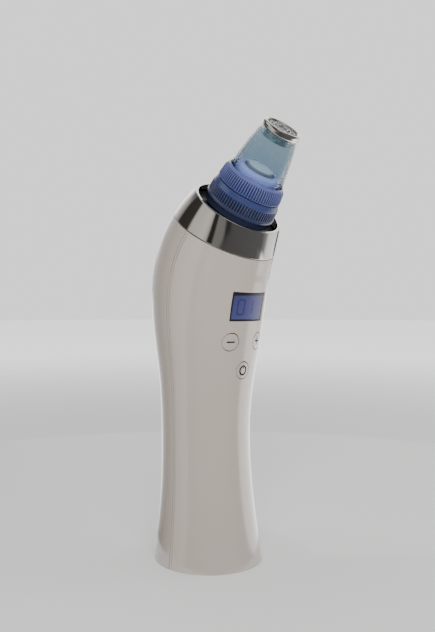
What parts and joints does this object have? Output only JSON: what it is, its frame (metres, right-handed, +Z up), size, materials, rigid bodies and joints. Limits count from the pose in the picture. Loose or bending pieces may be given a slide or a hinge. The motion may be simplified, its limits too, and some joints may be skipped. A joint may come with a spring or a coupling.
{
  "type": "blackhead vacuum extractor",
  "caption": "Hand-held pore cleaner that stands on its base: a curved white housing with a display and push buttons, a metal collar and a leaning clear probe with an abrasive tip.",
  "frame": {"origin": "centre of the flat base, on the surface it stands on", "axes": "+Z up, the display and buttons face -Y and the head leans towards -Y, +X to the right when looking along +Y"},
  "size_m": [0.052, 0.0765, 0.1991],
  "materials": {
    "white_plastic": "gloss",
    "chrome": "mirror polish",
    "black_plastic": "matte",
    "blue_plastic": "gloss, tinted",
    "clear_plastic": "clear gloss, tinted",
    "frosted_plastic": "frosted",
    "sponge": "open foam",
    "steel": "satin",
    "display_glass": "clear gloss",
    "display_blue": "backlit",
    "circuit_board": "satin",
    "black_rubber": "matte",
    "silicone": "satin, translucent",
    "battery_wrap": "shrink film",
    "red_lead": "satin"
  },
  "bodies": {
    "housing": {"front_shell": "white_plastic", "back_shell": "white_plastic", "bottom_cover": "white_plastic", "chassis": "white_plastic", "collar": "chrome", "display_window": "display_glass", "display_frame": "black_plastic", "display_module": "display_blue", "control_board": "circuit_board", "minus_switch": "black_plastic", "plus_switch": "black_plastic", "power_switch": "black_plastic", "board_screw_left": "steel", "board_screw_right": "steel", "base_screw_left": "steel", "base_screw_right": "steel", "motor_can": "steel", "motor_end_cap": "black_plastic", "pump_frame": "white_plastic", "swing_plate": "white_plastic", "diaphragm": "black_rubber", "valve_plate": "white_plastic", "pump_cover": "black_plastic", "suction_hose": "silicone", "battery": "battery_wrap", "charge_board": "circuit_board", "charge_socket": "steel", "lead_black": "black_rubber", "lead_red": "red_lead", "nozzle_seat": "black_plastic", "seal_ring": "black_rubber", "filter_cup": "frosted_plastic", "filter_pad": "sponge"},
    "minus_key": {"minus_button": "white_plastic", "minus_plunger": "black_plastic"},
    "plus_key": {"plus_button": "white_plastic", "plus_plunger": "black_plastic"},
    "power_key": {"power_button": "white_plastic", "power_plunger": "black_plastic"},
    "probe_base": {"skirt_ring": "blue_plastic"},
    "probe_cap": {"cap_ring": "blue_plastic", "probe_cone": "clear_plastic", "abrasive_tip": "steel"},
    "rotor": {"motor_shaft": "steel", "motor_armature": "steel", "eccentric": "white_plastic", "drive_pin": "steel"}
  },
  "joints": [
    {"name": "minus_press", "type": "slide", "parent": "housing", "child": "minus_key", "axis": [0, 1, 0], "range_m": [0, 0.0005], "stiffness_N_per_m": 900, "springref_m": -0.0004},
    {"name": "plus_press", "type": "slide", "parent": "housing", "child": "plus_key", "axis": [0, 1, 0], "range_m": [0, 0.0005], "stiffness_N_per_m": 900, "springref_m": -0.0004},
    {"name": "power_press", "type": "slide", "parent": "housing", "child": "power_key", "axis": [0, 1, 0], "range_m": [0, 0.0005], "stiffness_N_per_m": 900, "springref_m": -0.0004},
    {"name": "probe_pull", "type": "slide", "parent": "housing", "child": "probe_base", "axis": [0, -0.6157, 0.788], "range_m": [0, 0.03]},
    {"name": "cap_turn", "type": "hinge", "parent": "probe_base", "child": "probe_cap", "pos_m": [0, -0.02629, 0.17156], "axis": [0, -0.6157, 0.788], "range_deg": [0, 90]},
    {"name": "motor_spin", "type": "hinge", "parent": "housing", "child": "rotor", "pos_m": [0, 0.0072, 0.09], "axis": [0, 0, 1], "continuous": true}
  ]
}
